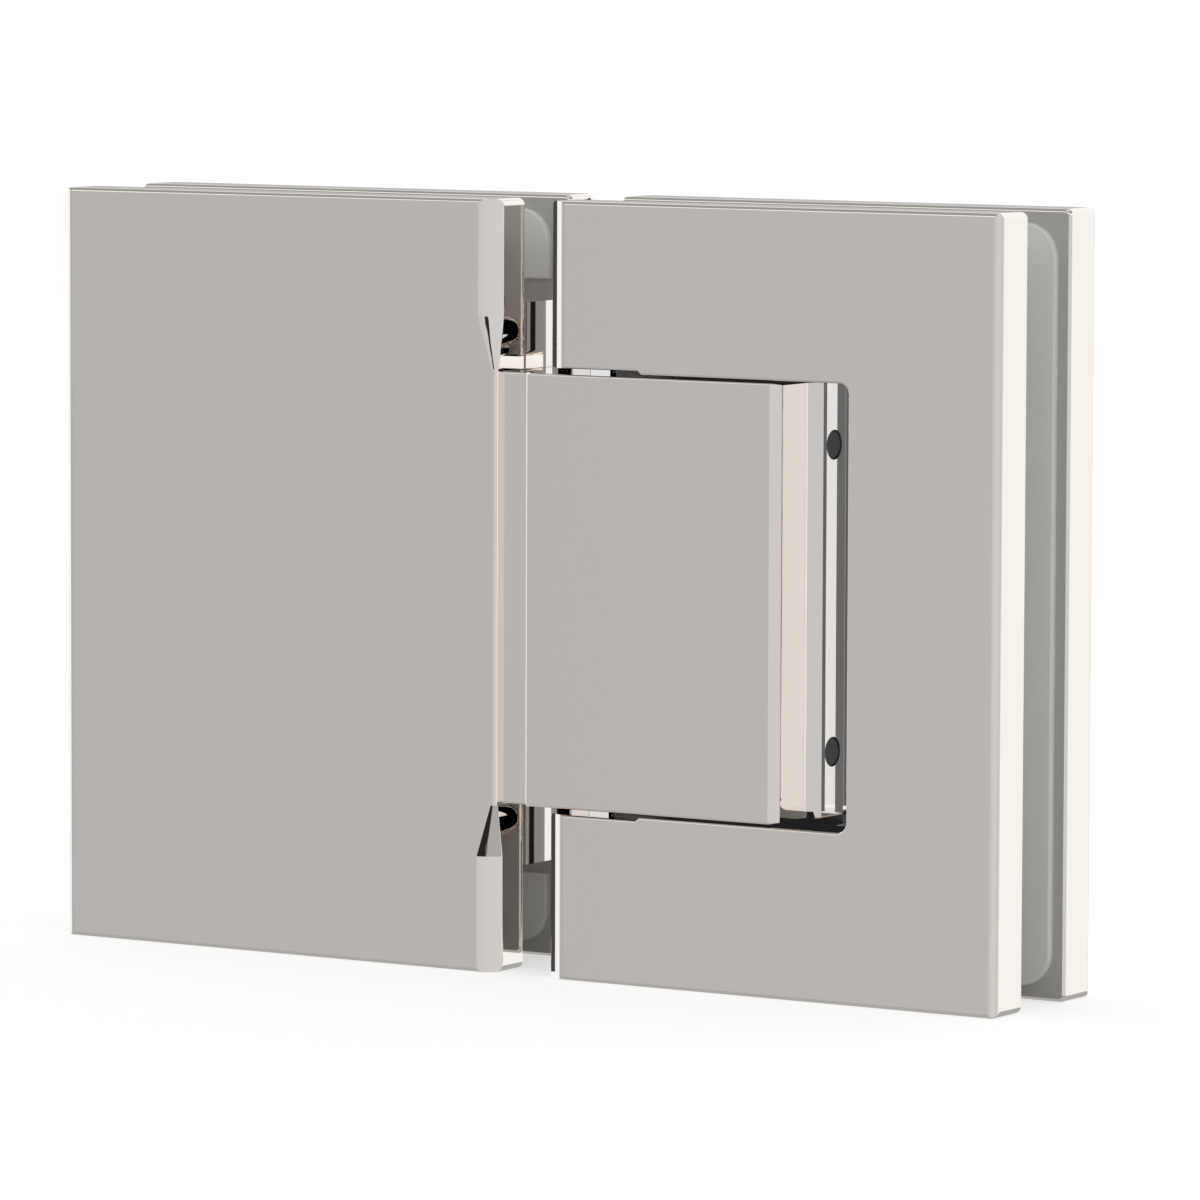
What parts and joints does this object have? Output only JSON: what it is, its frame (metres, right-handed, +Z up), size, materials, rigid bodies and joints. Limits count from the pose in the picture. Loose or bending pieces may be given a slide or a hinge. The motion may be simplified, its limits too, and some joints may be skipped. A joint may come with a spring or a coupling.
{
  "type": "glass door hinge",
  "caption": "Polished glass-to-glass shower door hinge with square plates that clamp both panels and a U-shaped door leaf turning on a pivot block.",
  "frame": {"origin": "middle of the whole hinge: half its length, half its height, and the middle plane of the glass", "axes": "+X from the fixed panel's plates to the door's, +Y from the room side through the glass to the screw side, +Z up along the pivot"},
  "size_m": [0.127, 0.0218, 0.0888],
  "materials": {
    "polished_chrome": "mirror polished plating on solid brass",
    "clear_gasket": "soft translucent vinyl",
    "nylon": "moulded",
    "plated_screw": "bright plated",
    "stainless_steel": "ground",
    "spring_steel": "drawn wire",
    "dark_plug": "moulded, dark grey"
  },
  "bodies": {
    "fixed_side": {"pivot_block": "polished_chrome", "fixed_front_plate": "polished_chrome", "fixed_back_plate": "polished_chrome", "fixed_front_gasket": "clear_gasket", "fixed_back_gasket": "clear_gasket", "fixed_clamp_screws": "plated_screw", "upper_bush": "nylon", "lower_bush": "nylon", "upper_thrust_washer": "nylon", "lower_thrust_washer": "nylon", "upper_detent_plunger": "stainless_steel", "lower_detent_plunger": "stainless_steel", "upper_detent_spring": "spring_steel", "lower_detent_spring": "spring_steel", "upper_detent_plug": "dark_plug", "lower_detent_plug": "dark_plug"},
    "door_side": {"door_front_plate": "polished_chrome", "door_back_plate": "polished_chrome", "door_front_gasket": "clear_gasket", "door_back_gasket": "clear_gasket", "door_clamp_screws": "plated_screw", "pivot_pin": "stainless_steel"}
  },
  "joints": [
    {"name": "door_swing", "type": "hinge", "parent": "fixed_side", "child": "door_side", "pos_m": [0.0135, 0, 0], "axis": [0, 0, 1], "range_deg": [-90, 90]}
  ]
}
